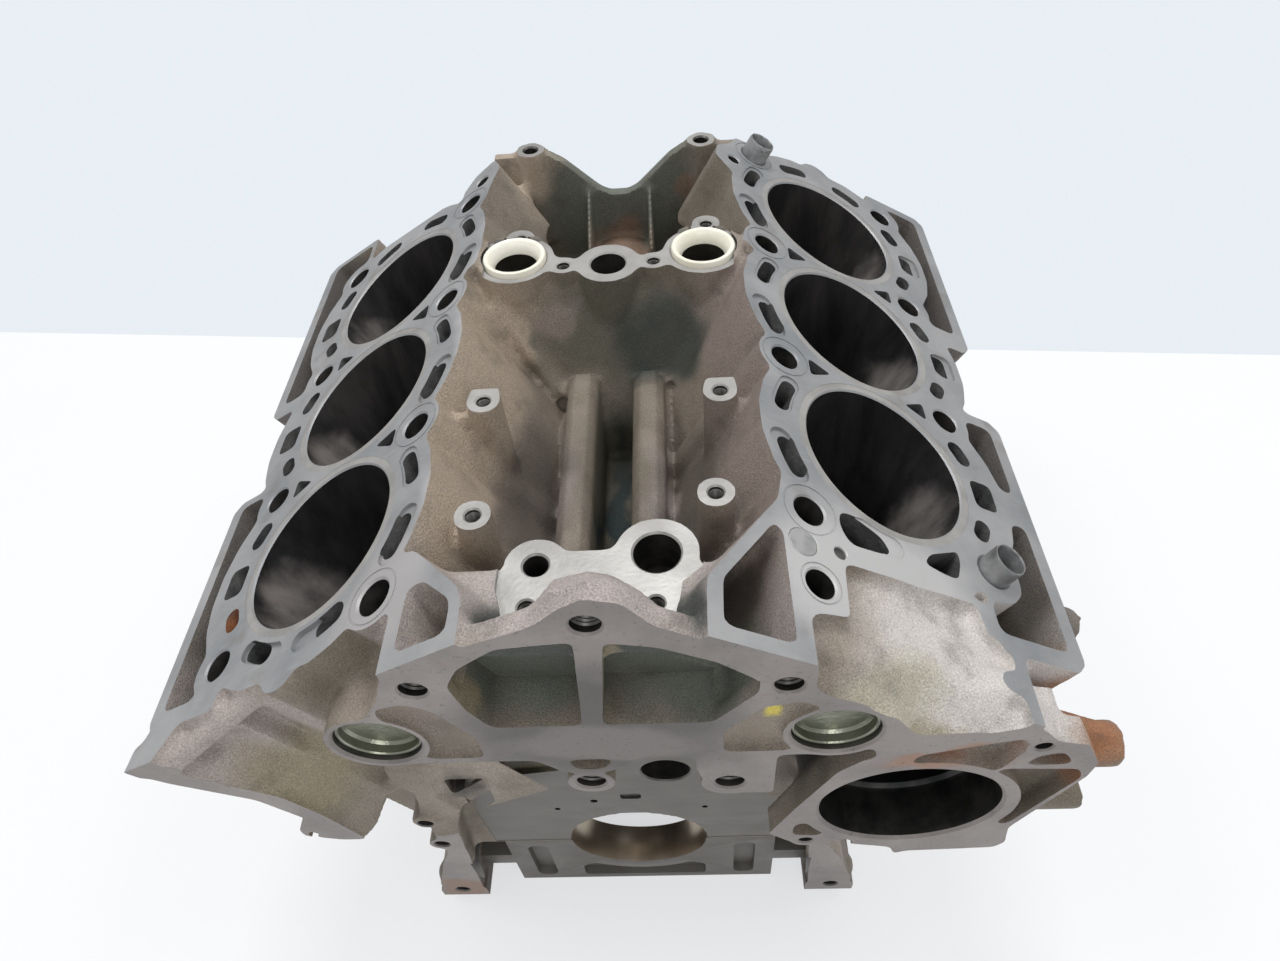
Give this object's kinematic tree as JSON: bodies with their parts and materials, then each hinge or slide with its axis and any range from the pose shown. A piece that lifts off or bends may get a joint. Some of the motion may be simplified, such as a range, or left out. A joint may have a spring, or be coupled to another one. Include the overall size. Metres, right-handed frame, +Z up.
{
  "type": "engine cylinder block",
  "caption": "Bare cast-iron V-shaped engine block with open cylinder bores, an arched front cover flange, a round pump seat and fitted main bearing caps.",
  "frame": {"origin": "on the crank axis at the front face of the front main bearing", "axes": "+X to the right-hand bank seen from the front, +Y along the crank to the rear, +Z up between the banks"},
  "size_m": [0.4297, 0.3868, 0.365],
  "materials": {
    "cast_iron": "as cast, with machined faces",
    "cap_iron": "machined",
    "bolt_steel": "dark phosphate",
    "plug_steel": "bright zinc",
    "dowel_steel": "plain",
    "gallery_steel": "ground flush",
    "cream_plastic": "satin"
  },
  "bodies": {
    "root": {"cylinder_block": "cast_iron", "front_main_cap": "cap_iron", "main_cap_2": "cap_iron", "main_cap_3": "cap_iron", "rear_main_cap": "cap_iron", "main_cap_bolts": "bolt_steel", "core_plug_left": "plug_steel", "core_plug_right": "plug_steel", "valley_sleeve_left": "cream_plastic", "valley_sleeve_right": "cream_plastic", "front_head_dowel": "dowel_steel", "rear_head_dowel": "dowel_steel", "gallery_plug": "gallery_steel"}
  },
  "joints": []
}
